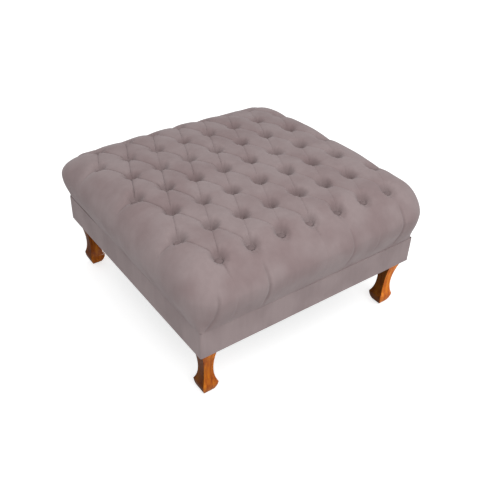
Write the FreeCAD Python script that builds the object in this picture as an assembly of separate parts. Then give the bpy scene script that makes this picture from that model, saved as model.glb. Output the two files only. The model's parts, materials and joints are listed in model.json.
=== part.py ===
import FreeCAD
import Part
import math
import os

# A square, deep-buttoned pouf: a padded top over a fabric-covered box frame on four sawn
# cabriole legs. Millimetres, +Z up. The origin is on the floor under the middle of the pouf,
# X runs across it, Y runs from the pleated front (-Y) to the pleated back (+Y).

V = FreeCAD.Vector
UP = V(0, 0, 1)
DOWN = V(0, 0, -1)

# The frame box, over its fabric band
frame_width = 800.0
frame_depth = 825.0
band_thickness = 2.0
band_corner_radius = 6.0

# Wood
rail_thickness = 25.0
rail_height = 76.0
deck_thickness = 12.0
cross_rail_thickness = 25.0
cross_rail_height = 58.0
corner_block_reach = 90.0
corner_block_height = 50.0
dowel_diameter = 10.0
dowel_length = 50.0
dowel_spacing = 38.0

# Cabriole legs, sawn to one outline from two sides. Each point is a distance in from the
# leg's outer face and a height over its foot.
leg_height = 178.0
leg_setback = 11.0
leg_top_width = 53.0
leg_foot_outer, leg_foot_inner = 19.0, 52.0
leg_toe_outer, leg_toe_inner, leg_toe_height = 10.0, 63.0, 34.0
leg_ankle_outer, leg_ankle_inner, leg_ankle_height = 23.0, 44.0, 66.0
leg_calf_outer, leg_calf_inner, leg_calf_height = 20.0, 50.0, 118.0
leg_toe_swell = 1.6

# Glides under the legs
glide_diameter = 24.0
glide_thickness = 3.0
glide_pin_diameter = 3.0
glide_pin_length = 15.0

# Leg fixings
bolt_diameter = 8.0
bolt_in_leg = 45.0
bolt_spare_thread = 3.0
nut_across_flats = 13.0
nut_thickness = 6.5
washer_diameter = 20.0
washer_thickness = 1.6
bolt_hole_clearance = 0.5

# Screws and staples
screw_diameter = 4.0
screw_head_diameter = 8.0
screw_head_height = 2.5
deck_screw_length = 38.0
block_screw_length = 45.0
cross_screw_length = 60.0
block_screw_inset = 30.0
deck_screws_per_rail = 4
staple_crown = 10.0
staple_leg = 6.0
staple_wire = 0.9
staples_per_side = 9
dust_cover_thickness = 0.8
dust_cover_inset = 6.0
dust_cover_leg_gap = 1.5

# Buttoning: seven rows, the even ones with a button more, half a step aside. The margins are
# from the frame's sides and ends to the nearest buttons.
button_side_margin = 44.4
button_end_margin = 58.5
row_count = 7
buttons_in_odd_row = 7
button_diameter = 22.0
button_thickness = 7.0
button_edge = 2.0
button_seat_gap = 1.0
twine_diameter = 2.0
twine_hole_diameter = 5.0
anchor_diameter = 12.0
anchor_thickness = 1.5

# The tufted top, measured from the seam over the band
button_height = 175.0
roll_height = 96.0
crown_angle = 78.0
pleat_depth = 15.0
seam_draw_in = 7.0
seam_corner_radius = 16.0
side_bulge = 33.0
bulge_height = 104.0
side_roll_reach, side_roll_fullness = 102.0, 2.0
end_roll_reach, end_roll_fullness = 120.0, 1.5
pad_corner_radius = 105.0
pad_ring_angles = (-90, -55, -25, 0, 20, 40, 60, crown_angle)
valley_half_width = 43.0
valley_crest = 3.0
valley_run_out = 88.0
dimple_mouth_diameter = 64.0
side_pleat_half_width = 26.0
side_pleat_depth = 12.0
side_pleat_lip = 10.0
side_pleat_angles = (crown_angle, 55, 30, 0, -35, -65)
foam_height = 130.0
topper_height = 25.0
foam_inset = 25.0
foam_corner_radius = 40.0

# Levels and half sizes that follow
leg_foot_level = glide_thickness
rail_bottom = leg_foot_level + leg_height
deck_bottom = rail_bottom + rail_height
seam_level = deck_bottom + deck_thickness
half_width = frame_width / 2
half_depth = frame_depth / 2
wood_half_width = half_width - band_thickness
wood_half_depth = half_depth - band_thickness
inner_half_width = wood_half_width - rail_thickness
inner_half_depth = wood_half_depth - rail_thickness
button_step = (frame_width - 2 * button_side_margin) / buttons_in_odd_row
row_step = (frame_depth - 2 * button_end_margin) / (row_count - 1)
button_seat = seam_level + button_height - button_thickness
crown_level = seam_level + bulge_height + roll_height * math.sin(math.radians(crown_angle))

SIDES = {"left": -1, "right": 1}
ENDS = {"front": -1, "back": 1}


def save(name, solids):
    """Write one node, a single solid or a group of separate ones."""
    shape = solids
    if isinstance(solids, list):
        shape = solids[0] if len(solids) == 1 else Part.makeCompound(solids)
    shape.exportStep("parts/" + name + ".step")


def box(low, high):
    """A box between two opposite corners."""
    size = high - low
    return Part.makeBox(size.x, size.y, size.z, low)


def rounded_wire(half_x, half_y, radius, level):
    """A rectangle with quarter-circle corners, about the Z axis."""
    edges = []
    for turn in range(4):
        run_x, run_y = (half_x, half_y) if turn % 2 == 0 else (half_y, half_x)
        diagonal = radius * (1 - math.sqrt(0.5))
        line = (V(run_x, radius - run_y, level), V(run_x, run_y - radius, level))
        middle = V(run_x - diagonal, run_y - diagonal, level)
        corner_end = V(run_x - radius, run_y, level)
        pair = [Part.LineSegment(*line).toShape(), Part.Arc(line[1], middle, corner_end).toShape()]
        for edge in pair:
            edge.rotate(V(0, 0, 0), UP, 90 * turn)
            edges.append(edge)
    return Part.Wire(edges)


def rounded_block(half_x, half_y, radius, low, high):
    """An upright block with rounded corners."""
    return Part.Face(rounded_wire(half_x, half_y, radius, low)).extrude(V(0, 0, high - low))


def screw(tip, direction, length):
    """A countersunk screw whose head is flush where the direction starts."""
    shank = Part.makeCylinder(screw_diameter / 2, length, tip, direction)
    head = Part.makeCone(screw_head_diameter / 2, screw_diameter / 2, screw_head_height, tip, direction)
    return shank.fuse(head).removeSplitter()


def spread(count, reach):
    """Evenly spaced places from -reach to +reach."""
    return [reach * (2 * i / (count - 1) - 1) for i in range(count)]


def legs():
    """Each leg's name and the signs of its corner."""
    return [(end + "_" + side, SIDES[side], ENDS[end]) for end in ENDS for side in SIDES]


def leg_centre(sx, sy, level):
    inset = leg_setback + leg_top_width / 2
    return V(sx * (half_width - inset), sy * (half_depth - inset), level)


def leg_outline():
    """The sawn outline in the XZ plane, with the outer face at X = 0 and the foot at Z = 0."""
    foot = V(leg_foot_outer, 0, 0), V(leg_foot_inner, 0, 0)
    toe = V(leg_toe_outer, 0, leg_toe_height), V(leg_toe_inner, 0, leg_toe_height)
    ankle = V(leg_ankle_outer, 0, leg_ankle_height), V(leg_ankle_inner, 0, leg_ankle_height)
    calf = V(leg_calf_outer, 0, leg_calf_height), V(leg_calf_inner, 0, leg_calf_height)
    top = V(0, 0, leg_height), V(leg_top_width, 0, leg_height)
    edges = [Part.LineSegment(foot[0], foot[1]).toShape(), Part.LineSegment(top[0], top[1]).toShape()]
    for edge, outward in ((0, -1), (1, 1)):
        middle = (foot[edge] + toe[edge]) / 2 + V(outward * leg_toe_swell, 0, -leg_toe_swell)
        edges.append(Part.Arc(foot[edge], middle, toe[edge]).toShape())
        curve = Part.BezierCurve()
        curve.setPoles([toe[edge], ankle[edge], calf[edge], top[edge]])
        edges.append(curve.toShape())
    return Part.Wire(Part.sortEdges(edges)[0])


def leg_blank():
    """The leg at the corner of +X and +Y with its outer faces at X = 0 and Y = 0."""
    reach = 2 * leg_toe_inner
    seen_from_y = Part.Face(leg_outline()).extrude(V(0, reach, 0))
    seen_from_x = seen_from_y.copy()
    seen_from_x.rotate(V(0, 0, 0), UP, 90)
    seen_from_x = seen_from_x.mirror(V(0, 0, 0), V(1, 0, 0))
    return seen_from_y.common(seen_from_x)


def glide(sx, sy):
    centre = foot_centre(sx, sy, 0)
    disc = Part.makeCylinder(glide_diameter / 2, glide_thickness, centre)
    pin = Part.makeCylinder(glide_pin_diameter / 2, glide_thickness + glide_pin_length, centre)
    return disc.fuse(pin).removeSplitter()


def foot_centre(sx, sy, level):
    """The middle of a leg's foot."""
    inset = leg_setback + (leg_foot_outer + leg_foot_inner) / 2
    return V(sx * (half_width - inset), sy * (half_depth - inset), level)


def bolt_hole(sx, sy):
    low = leg_centre(sx, sy, rail_bottom - bolt_in_leg)
    return Part.makeCylinder(bolt_diameter / 2, bolt_in_leg + corner_block_height, low)


def leg(sx, sy):
    """A leg in its corner, drilled for its bolt and its glide."""
    solid = leg_blank()
    for sign, normal in ((sx, V(1, 0, 0)), (sy, V(0, 1, 0))):
        if sign > 0:
            solid = solid.mirror(V(0, 0, 0), normal)
    solid.translate(V(sx * (half_width - leg_setback), sy * (half_depth - leg_setback), leg_foot_level))
    return solid.cut([bolt_hole(sx, sy), glide(sx, sy)])


def hanger_bolt(sx, sy):
    length = bolt_in_leg + corner_block_height + washer_thickness + nut_thickness + bolt_spare_thread
    return Part.makeCylinder(bolt_diameter / 2, length, leg_centre(sx, sy, rail_bottom - bolt_in_leg))


def washer(sx, sy):
    centre = leg_centre(sx, sy, rail_bottom + corner_block_height)
    ring = Part.makeCylinder(washer_diameter / 2, washer_thickness, centre)
    return ring.cut(Part.makeCylinder(bolt_diameter / 2, washer_thickness, centre))


def nut(sx, sy):
    centre = leg_centre(sx, sy, rail_bottom + corner_block_height + washer_thickness)
    corner = nut_across_flats / math.sqrt(3)
    points = [centre + V(corner * math.cos(i * math.pi / 3), corner * math.sin(i * math.pi / 3), 0)
              for i in range(7)]
    body = Part.Face(Part.makePolygon(points)).extrude(V(0, 0, nut_thickness))
    return body.cut(Part.makeCylinder(bolt_diameter / 2, nut_thickness, centre))


def corner_block(sx, sy):
    """A glued triangular block inside a corner of the frame."""
    corner = V(sx * inner_half_width, sy * inner_half_depth, rail_bottom)
    along_x, along_y = V(sx * corner_block_reach, 0, 0), V(0, sy * corner_block_reach, 0)
    triangle = Part.Face(Part.makePolygon([corner, corner - along_x, corner - along_y, corner]))
    block = triangle.extrude(V(0, 0, corner_block_height))
    hole = Part.makeCylinder(bolt_diameter / 2 + bolt_hole_clearance, corner_block_height,
                             leg_centre(sx, sy, rail_bottom))
    return block.cut([hole] + block_screws(sx, sy))


def block_screws(sx, sy):
    """Two screws from each block's slanted face into the rails beside it."""
    level = rail_bottom + corner_block_height / 2
    screws = []
    for along_x in (True, False):
        near = corner_block_reach - block_screw_inset
        far = block_screw_inset
        if along_x:
            start = V(sx * (inner_half_width - near), sy * (inner_half_depth - far), level)
            direction = V(0, sy, 0)
        else:
            start = V(sx * (inner_half_width - far), sy * (inner_half_depth - near), level)
            direction = V(sx, 0, 0)
        screws.append(screw(start, direction, block_screw_length))
    return screws


def rail_x(sy, cuts):
    """The front or back rail, which runs the frame's whole width."""
    y_in, y_out = sy * inner_half_depth, sy * wood_half_depth
    low = V(-wood_half_width, min(y_in, y_out), rail_bottom)
    high = V(wood_half_width, max(y_in, y_out), deck_bottom)
    return round_outer_corners(box(low, high)).cut(cuts)


def rail_y(sx, cuts):
    """A side rail, which fits between the front and back rails."""
    x_in, x_out = sx * inner_half_width, sx * wood_half_width
    low = V(min(x_in, x_out), -inner_half_depth, rail_bottom)
    high = V(max(x_in, x_out), inner_half_depth, deck_bottom)
    return box(low, high).cut(cuts)


def round_outer_corners(solid):
    """Trim a frame piece to the rounded corners that the band goes round."""
    radius = band_corner_radius - band_thickness
    outline = rounded_block(wood_half_width, wood_half_depth, radius, rail_bottom, seam_level)
    return solid.common(outline)


def rail_dowels():
    """Two dowels through each joint of a front or back rail and a side rail."""
    dowels = []
    middle = rail_bottom + rail_height / 2
    for _, sx, sy in legs():
        for step in (-dowel_spacing / 2, dowel_spacing / 2):
            x = sx * (wood_half_width - rail_thickness / 2)
            centre = V(x, sy * inner_half_depth, middle + step)
            low = centre - V(0, dowel_length / 2, 0)
            dowels.append(Part.makeCylinder(dowel_diameter / 2, dowel_length, low, V(0, 1, 0)))
    return dowels


def cross_rail(sy, cuts):
    """A cross rail under the deck, between two rows of button anchors."""
    y = sy * row_step / 2
    low = V(-inner_half_width, y - cross_rail_thickness / 2, deck_bottom - cross_rail_height)
    high = V(inner_half_width, y + cross_rail_thickness / 2, deck_bottom)
    return box(low, high).cut(cuts)


def cross_rail_screws():
    screws = []
    for sy in ENDS.values():
        for sx in SIDES.values():
            start = V(sx * wood_half_width, sy * row_step / 2, deck_bottom - cross_rail_height / 2)
            screws.append(screw(start, V(-sx, 0, 0), cross_screw_length))
    return screws


def deck_screws():
    screws = []
    for sy in ENDS.values():
        y = sy * (wood_half_depth - rail_thickness / 2)
        for x in spread(deck_screws_per_rail, inner_half_width - corner_block_reach / 2):
            screws.append(screw(V(x, y, seam_level), DOWN, deck_screw_length))
    for sx in SIDES.values():
        x = sx * (wood_half_width - rail_thickness / 2)
        for y in spread(deck_screws_per_rail, inner_half_depth - corner_block_reach / 2):
            screws.append(screw(V(x, y, seam_level), DOWN, deck_screw_length))
    return screws


def button_places():
    """Each row's number and the X and Y of its buttons, from the front row to the back one."""
    rows = []
    for row in range(row_count):
        count = buttons_in_odd_row + row % 2
        y = (row - (row_count - 1) / 2) * row_step
        rows.append((row + 1, [(x, y) for x in spread(count, (count - 1) * button_step / 2)]))
    return rows


def all_buttons():
    return [place for _, places in button_places() for place in places]


def button(x, y):
    """A domed, covered button on the bottom of its dimple."""
    radius = button_diameter / 2
    rim = button_seat + button_edge
    points = [V(0, 0, button_seat), V(radius, 0, button_seat), V(radius, 0, rim)]
    top = V(0, 0, button_seat + button_thickness)
    dome_height = button_thickness - button_edge
    dome_radius = (radius ** 2 + dome_height ** 2) / (2 * dome_height)
    half_turn = math.asin(radius / dome_radius) / 2
    drop = dome_radius * (1 - math.cos(half_turn))
    middle = V(dome_radius * math.sin(half_turn), 0, top.z - drop)
    edges = [Part.LineSegment(points[0], points[1]).toShape(),
             Part.LineSegment(points[1], points[2]).toShape(),
             Part.Arc(points[2], middle, top).toShape(),
             Part.LineSegment(top, points[0]).toShape()]
    dome = Part.Face(Part.Wire(edges)).revolve(V(0, 0, 0), UP, 360)
    dome.translate(V(x, y, 0))
    return dome


def twine(x, y):
    low = deck_bottom - anchor_thickness
    return Part.makeCylinder(twine_diameter / 2, button_seat - low, V(x, y, low))


def twine_anchor(x, y):
    """A flat washer under the deck that the twine is tied to."""
    low = V(x, y, deck_bottom - anchor_thickness)
    disc = Part.makeCylinder(anchor_diameter / 2, anchor_thickness, low)
    return disc.cut(Part.makeCylinder(twine_diameter / 2, anchor_thickness, low))


def twine_holes(low, high):
    return [Part.makeCylinder(twine_hole_diameter / 2, high - low, V(x, y, low)) for x, y in all_buttons()]


def deck_board():
    """The plywood deck, drilled for the button twines."""
    radius = band_corner_radius - band_thickness
    board = rounded_block(wood_half_width, wood_half_depth, radius, deck_bottom, seam_level)
    return board.cut(twine_holes(deck_bottom, seam_level) + deck_screws())


def band_panel(along, toward):
    """One side of the fabric band round the frame, between mitred corner seams."""
    outer = rounded_block(half_width, half_depth, band_corner_radius, rail_bottom, seam_level)
    inner_radius = band_corner_radius - band_thickness
    inner = rounded_block(wood_half_width, wood_half_depth, inner_radius, rail_bottom, seam_level)
    middle = V(toward.x * half_width, toward.y * half_depth, rail_bottom)
    reach = abs(along.x * half_width + along.y * half_depth)
    points = [middle - along * reach, middle + along * reach, middle - toward * reach]
    wedge = Part.Face(Part.makePolygon(points + points[:1]))
    return outer.cut(inner).common(wedge.extrude(V(0, 0, seam_level - rail_bottom)))


def dust_cover():
    """The cloth under the frame, notched round the leg tops."""
    half_x, half_y = half_width - dust_cover_inset, half_depth - dust_cover_inset
    low = V(-half_x, -half_y, rail_bottom - dust_cover_thickness)
    sheet = box(low, V(half_x, half_y, rail_bottom))
    notches = []
    reach = leg_setback + leg_top_width + dust_cover_leg_gap
    for _, sx, sy in legs():
        inner = V(sx * (half_width - reach), sy * (half_depth - reach), low.z)
        outer = V(sx * half_width, sy * half_depth, rail_bottom)
        near = V(min(inner.x, outer.x), min(inner.y, outer.y), low.z)
        far = V(max(inner.x, outer.x), max(inner.y, outer.y), rail_bottom)
        notches.append(box(near, far))
    return sheet.cut(notches + dust_cover_staples())


def staple(centre, along):
    """A staple driven up through the dust cover, with its crown along a rail."""
    half = staple_crown / 2
    wire = staple_wire / 2
    size = along * half + V(wire, wire, 0) - along * wire
    top = rail_bottom - dust_cover_thickness
    crown = box(centre - size + V(0, 0, top - staple_wire), centre + size + V(0, 0, top))
    solid = crown
    for sign in (-1, 1):
        foot = centre + along * (sign * (half - wire)) + V(0, 0, top)
        solid = solid.fuse(box(foot - V(wire, wire, 0), foot + V(wire, wire, staple_leg)))
    return solid.removeSplitter()


def dust_cover_staples():
    staples = []
    reach_x = inner_half_width - corner_block_reach / 2
    reach_y = inner_half_depth - corner_block_reach / 2
    for sign in (-1, 1):
        for x in spread(staples_per_side, reach_x):
            y = sign * (wood_half_depth - rail_thickness / 2)
            staples.append(staple(V(x, y, 0), V(1, 0, 0)))
        for y in spread(staples_per_side, reach_y):
            x = sign * (wood_half_width - rail_thickness / 2)
            staples.append(staple(V(x, y, 0), V(0, 1, 0)))
    return staples


def roll_share(turn, fullness):
    """How far out over the roll the pad is at a turn, as a share of the roll's reach."""
    return (1 - math.sin(turn) ** fullness) ** (1 / fullness)


def pad_ring(angle):
    """How far the pad stands out of the band at its sides and at its ends, and its height."""
    turn = math.radians(angle)
    if angle < 0:
        out = side_bulge - (side_bulge + seam_draw_in) * (1 - math.cos(turn))
        return out, out, seam_level + bulge_height * (1 + math.sin(turn))
    side_out = side_bulge - side_roll_reach * (1 - roll_share(turn, side_roll_fullness))
    end_out = side_bulge - end_roll_reach * (1 - roll_share(turn, end_roll_fullness))
    return side_out, end_out, seam_level + bulge_height + roll_height * math.sin(turn)


def pad_body():
    """The pad with its drawn-in seam, bulging sides and rolled top, before it is buttoned."""
    wires = []
    for angle in pad_ring_angles:
        side_out, end_out, level = pad_ring(angle)
        share = min(1, (level - seam_level) / bulge_height)
        radius = seam_corner_radius + share * (pad_corner_radius - seam_corner_radius)
        wires.append(rounded_wire(half_width + side_out, half_depth + end_out, radius, level))
    return Part.makeLoft(wires, True, False)


def valley_lines():
    """The two ends of each straight line of buttons, along both diagonals."""
    places = {(round(2 * x / button_step), row): (x, y) for row, spots in button_places() for x, y in spots}
    lines = []
    for lean in (-1, 1):
        for column, row in places:
            if (column - lean, row - 1) in places:
                continue
            start = end = places[column, row]
            while (column, row) in places:
                end = places[column, row]
                column, row = column + lean, row + 1
            if end != start:
                lines.append((V(start[0], start[1], 0), V(end[0], end[1], 0)))
    return lines


def pleat_valleys():
    """Long creases along the diagonals: two pillow flanks that fall to one fold."""
    crest = crown_level + valley_crest
    rise = pleat_depth + valley_crest
    radius = (valley_half_width ** 2 + rise ** 2) / (2 * rise)
    half_turn = math.asin(valley_half_width / radius) / 2
    valleys = []
    for start, end in valley_lines():
        along = (end - start).normalize()
        across = V(along.y, -along.x, 0)
        start = start - along * valley_run_out + UP * crest
        length = (end - start).dot(along) + valley_run_out
        fold = start - UP * rise
        edges = [Part.LineSegment(start - across * valley_half_width,
                                  start + across * valley_half_width).toShape()]
        for side in (-1, 1):
            top = start + across * (side * valley_half_width)
            middle = top - UP * radius + UP * (radius * math.cos(half_turn))
            middle = middle - across * (side * radius * math.sin(half_turn))
            edges.append(Part.Arc(top, middle, fold).toShape())
        section = Part.Face(Part.Wire(Part.sortEdges(edges)[0]))
        valleys.append(section.extrude(along * length))
    return valleys


def side_pleats():
    """Folds from the front and back rows of buttons over the roll and down to the seam."""
    pleats = []
    rows = button_places()
    for _, places in (rows[0], rows[-1]):
        for x, y in places:
            facing = math.copysign(1, y)
            wires = []
            for angle in side_pleat_angles:
                _, end_out, level = pad_ring(angle)
                turn = math.radians(angle)
                outward = V(0, facing * math.cos(turn), math.sin(turn))
                surface = V(x, facing * (half_depth + end_out), level)
                share = (90 + angle) / (90 + crown_angle)
                half = V(side_pleat_half_width * share, 0, 0)
                lip = surface + outward * side_pleat_lip
                fold = surface - outward * (side_pleat_depth * share)
                wires.append(Part.makePolygon([lip - half, lip + half, fold, lip - half]))
            pleats.append(Part.makeLoft(wires, True, True))
    return pleats


def dimples():
    """Round pits down to the buttons' seats."""
    floor_radius = button_diameter / 2 + button_seat_gap
    depth = crown_level + valley_crest - button_seat
    return [Part.makeCone(floor_radius, dimple_mouth_diameter / 2, depth, V(x, y, button_seat))
            for x, y in all_buttons()]


def foam_layer(low, high):
    """A flat layer of foam on the deck, pierced for the button twines."""
    half_x, half_y = half_width - foam_inset, half_depth - foam_inset
    return rounded_block(half_x, half_y, foam_corner_radius, low, high)


def tufted_cover():
    """The buttoned cover with the filling that its pillows hold, over the flat foam."""
    form = pad_body().cut(pleat_valleys() + side_pleats() + dimples())
    foam_top = seam_level + foam_height + topper_height
    return form.cut([foam_layer(seam_level, foam_top)] + twine_holes(foam_top, button_seat))


def main():
    os.makedirs("parts", exist_ok=True)
    corners = legs()
    for name, sx, sy in corners:
        save("leg_" + name, leg(sx, sy))
        save("glide_" + name, glide(sx, sy))
        save("corner_block_" + name, corner_block(sx, sy))
    save("hanger_bolts", [hanger_bolt(sx, sy) for _, sx, sy in corners])
    save("bolt_washers", [washer(sx, sy) for _, sx, sy in corners])
    save("bolt_nuts", [nut(sx, sy) for _, sx, sy in corners])

    screws_in_blocks = [piece for _, sx, sy in corners for piece in block_screws(sx, sy)]
    rail_fixings = rail_dowels() + screws_in_blocks + deck_screws() + cross_rail_screws()
    rail_fixings += dust_cover_staples()
    for end, sy in ENDS.items():
        save("rail_" + end, rail_x(sy, rail_fixings))
        save("cross_rail_" + end, cross_rail(sy, cross_rail_screws()))
        save("band_" + end, band_panel(V(1, 0, 0), V(0, sy, 0)))
    for side, sx in SIDES.items():
        save("rail_" + side, rail_y(sx, rail_fixings))
        save("band_" + side, band_panel(V(0, 1, 0), V(sx, 0, 0)))
    save("rail_dowels", rail_dowels())
    save("corner_block_screws", screws_in_blocks)
    save("cross_rail_screws", cross_rail_screws())
    save("deck_board", deck_board())
    save("deck_screws", deck_screws())
    save("dust_cover", dust_cover())
    save("dust_cover_staples", dust_cover_staples())

    foam_top = seam_level + foam_height
    topper_top = foam_top + topper_height
    save("foam_block", foam_layer(seam_level, foam_top).cut(twine_holes(seam_level, foam_top)))
    save("foam_topper", foam_layer(foam_top, topper_top).cut(twine_holes(foam_top, topper_top)))
    save("tufted_cover", tufted_cover())
    for row, places in button_places():
        save("button_row_" + str(row), [button(x, y) for x, y in places])
    save("button_twines", [twine(x, y) for x, y in all_buttons()])
    save("twine_anchors", [twine_anchor(x, y) for x, y in all_buttons()])


main()
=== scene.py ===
import json
import math

import bmesh
import bpy
import numpy as np
from mathutils import Matrix, Vector, noise


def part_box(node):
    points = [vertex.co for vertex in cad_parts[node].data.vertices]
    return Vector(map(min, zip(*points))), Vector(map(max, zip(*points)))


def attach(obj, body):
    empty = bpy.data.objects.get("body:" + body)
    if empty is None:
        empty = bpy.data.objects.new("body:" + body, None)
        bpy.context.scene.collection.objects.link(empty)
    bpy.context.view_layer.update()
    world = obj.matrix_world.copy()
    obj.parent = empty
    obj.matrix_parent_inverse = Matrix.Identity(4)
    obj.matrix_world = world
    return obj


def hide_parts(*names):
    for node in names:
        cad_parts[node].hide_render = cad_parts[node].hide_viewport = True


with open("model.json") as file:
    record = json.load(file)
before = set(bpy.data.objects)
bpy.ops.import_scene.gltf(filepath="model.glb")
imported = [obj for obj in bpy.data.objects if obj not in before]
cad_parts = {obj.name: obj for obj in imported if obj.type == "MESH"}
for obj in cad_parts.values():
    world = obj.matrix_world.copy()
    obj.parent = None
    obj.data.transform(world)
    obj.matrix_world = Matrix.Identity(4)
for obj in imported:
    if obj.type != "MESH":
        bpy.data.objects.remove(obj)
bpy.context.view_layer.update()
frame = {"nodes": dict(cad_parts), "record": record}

# A deep-buttoned velvet pouf, in metres, in the frame's own axes: +Z up, X across it, and Y from
# its pleated front (-Y) to its pleated back (+Y).

# Levels and outlines, read from the frame
BAND_FOLD = 0.001
SEAM_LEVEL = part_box("deck_board")[1].z + BAND_FOLD
RAIL_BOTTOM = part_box("rail_front")[0].z
BAND_HALF_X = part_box("band_right")[1].x
BAND_HALF_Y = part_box("band_back")[1].y
FOAM_HALF_X, FOAM_HALF_Y, FOAM_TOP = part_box("foam_topper")[1]
CAD_COVER_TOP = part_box("tufted_cover")[1]

# The buttons, read from their seven rows
ROW_BOXES = [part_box("button_row_%d" % row) for row in range(1, 8)]
BUTTON_RADIUS = (ROW_BOXES[0][1].y - ROW_BOXES[0][0].y) / 2
BUTTON_SEAT, BUTTON_TOP = ROW_BOXES[0][0].z, ROW_BOXES[0][1].z
ROW_STEP = (ROW_BOXES[1][0] - ROW_BOXES[0][0]).y
BUTTON_STEP = (ROW_BOXES[1][1].x - ROW_BOXES[0][1].x) * 2
LAST_ROW = ROW_BOXES[6][1].y - BUTTON_RADIUS
LAST_COLUMN = ROW_BOXES[1][1].x - BUTTON_RADIUS

# The pad over its seam: a rolled edge, fuller at the sides (X) than at the pleated ends (Y)
PAD_HALF_X = CAD_COVER_TOP.x
PAD_HALF_Y = BAND_HALF_Y + PAD_HALF_X - BAND_HALF_X + 0.002
BULGE_LEVEL = SEAM_LEVEL + 0.103
CREST_LEVEL = CAD_COVER_TOP.z + 0.003
ROLL_REACH_X, ROLL_FULLNESS_X = 0.102, 2.0
ROLL_REACH_Y, ROLL_FULLNESS_Y = 0.122, 1.5
BULGE_BLUNTING, BULGE_SPREAD = 0.007, 0.32
CROWN_X, CROWN_Y, CORNER_DROP, LEAN = 0.003, 0.013, 0.026, 0.006
SEAM_DRAW_IN, SEAM_SHELF = 0.003, 0.0008

# How far the pad's rounded corners reach, as shares of a square corner, and how late they widen
BULGE_CORNER, SEAM_CORNER, CORNER_TUCK = 0.74, 0.9715, 2.3

# Between which places the seam's drawing in changes: along the plain sides, as shares of half
# their flat length, and away from the front left corner, in X and in Y. It is least in the plain
# sides' middle and round that corner
TUCK_START, LEFT_PART, FRONT_PART = (0.5, 0.95), (-0.36, 0.24), (-0.25, 0.05)

# Tufts: pleats between neighbouring buttons, with strengths of their own to the left and to the
# right of a button, dimples round the buttons, and pleats and creases over the rolls
PILLOW_REACH = 0.0467
PLEAT_DEPTH, PLEAT_END_DEPTH, PLEAT_SAG = 0.0078, 0.023, 2.3
PLEAT_PULL, PLEAT_FADE, PLEAT_WANDER, PLEAT_LEAST = 0.78, 0.95, 0.15, 0.3
LEFT_PLEATS, RIGHT_PLEATS = 1.14, 0.86
DIMPLE_FLOOR, DIMPLE_REACH, DIMPLE_WALL, DIMPLE_DEPTH = 0.0122, 0.036, 0.020, 0.024
BOWL_SHARE, WALL_SHARE, LEAST_PULL = 0.72, 0.28, 0.002
DIMPLE_LENGTHENING, LENGTHENED, DIMPLE_TWIST, DIMPLE_RIPPLE = 0.24, (-0.25, 0.25), 0.45, 0.06
ROLL_PLEAT_DEPTH, ROLL_PLEAT_REACH = 0.014, 0.044
CREASE_DEPTH, CREASE_REACH = 0.0034, 0.0048
SIDE_CREASE_DEPTH, SIDE_CREASE_REACH = 0.015, 0.046
PUCKER_DEPTH, PUCKER_COUNT, PUCKER_WINDOW = 0.0009, 12, (0.012, 0.018, 0.024, 0.042)

# The cover's loose wrinkles and broader swells, how deeply it is drawn in where none are left, and
# how much of the full painted shade of the deepest drawn-in place a crease has
WRINKLE_SIZE, WRINKLE_HEIGHT, SWELL_SIZE, SWELL_HEIGHT = 0.075, 0.0016, 0.19, 0.0020
WRINKLES_GONE, CREASE_SHADE = 0.020, 0.75

# How far the cover stays over the foam, the foam's rounded corners, how the cover falls away past
# the foam's edge, and the recess's gap round the foam
OVER_FOAM, FOAM_CORNER, FOAM_EDGE_EASE, RECESS_GAP = 0.002, 0.040, 0.009, 0.0005

# Between which turns, in degrees, the tufts fade, the cover stops being drawn straight down, it is
# no longer kept off the foam, and the wrinkles and the side creases fade
TUFT_FADE, UPRIGHT_FADE, FOAM_FADE = (40, 66), (46, 82), (56, 76)
LOOSE_FADE, SIDE_FADE = (150, 175), (25, 72)

# The pleats over the rolls: between which distances past their button they start, the turn at
# which the front ones begin to fade, the turn at which the weakest end, and how many degrees later
# one of strength 1 does. Then the turns between which the creases down the faces come and go
PLEAT_START, FRONT_FADE_FROM, ROLL_END, ROLL_END_MORE = (-0.006, 0.004), 26, 45, 32
FACE_TURNS = (46, 68, 115, 165)

# The folds at two corners: the turn at which one sets out, how far from the corner, how far and how
# late it runs out to it, how near the pleated face it shows, and the turns between which it does
FOLD_START, FOLD_INSET, FOLD_SWING, FOLD_CURVE, FOLD_FACE = 62, 0.042, 0.036, 1.6, 0.03
FOLD_TURNS = (60, 84, 150, 178)

# The front pleats from left to right: how strong each is over the roll and down the face
ROLL_STRENGTHS = (1.0, 0.4, 0.4, 0.9, 0.5, 0.4, 0.4)
FACE_STRENGTHS = (0.3, 1.2, 0.15, 0.15, 0.8, 0.2, 1.2)

# The back pleats: how strong each is over the roll and down the face, and where it starts to fade
BACK_PLEATS = (1.6, 0.8, 44)

# The band: its rounded corners and how finely it is divided, its edges and where they grow round
# as shares of half a side, its turned-in hem, its inner face, and its slight waves
BAND_CORNER, BAND_STEPS, BAND_LEVELS, BEND_STEPS = 0.006, 90, 60, 5
BAND_EDGE, PLAIN_BAND_EDGE, BAND_ROUNDING = 0.0018, 0.0004, (-0.9, 0.6)
BAND_TURN_IN, BAND_INNER, HEM_GAP = 0.012, 0.0032, 0.0001
BAND_INSET, WAVE_PITCH, WAVE_SQUASH = 0.0004, 9, 1.5

# Half a button's height as a share of its solid's height, and how far a twine goes into its button
BUTTON_DOME, TWINE_INTO_BUTTON = 0.3, 0.001

# The legs' rounded edges, and what counts as one place and as one flat face in a merged solid
LEG_EDGE, LEG_EDGE_PARTS, LEG_EDGE_ANGLE = 0.0016, 3, 32
MERGE_REACH, FLAT_ANGLE = 0.00002, 0.6

# Light: the surround as it lights and as it is reflected, the key light in watts, and how far the
# floor is lifted to white
SURROUND, REFLECTED, KEY_POWER, FLOOR_LIFT = 0.66, 0.25, 42, 0.66

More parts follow.
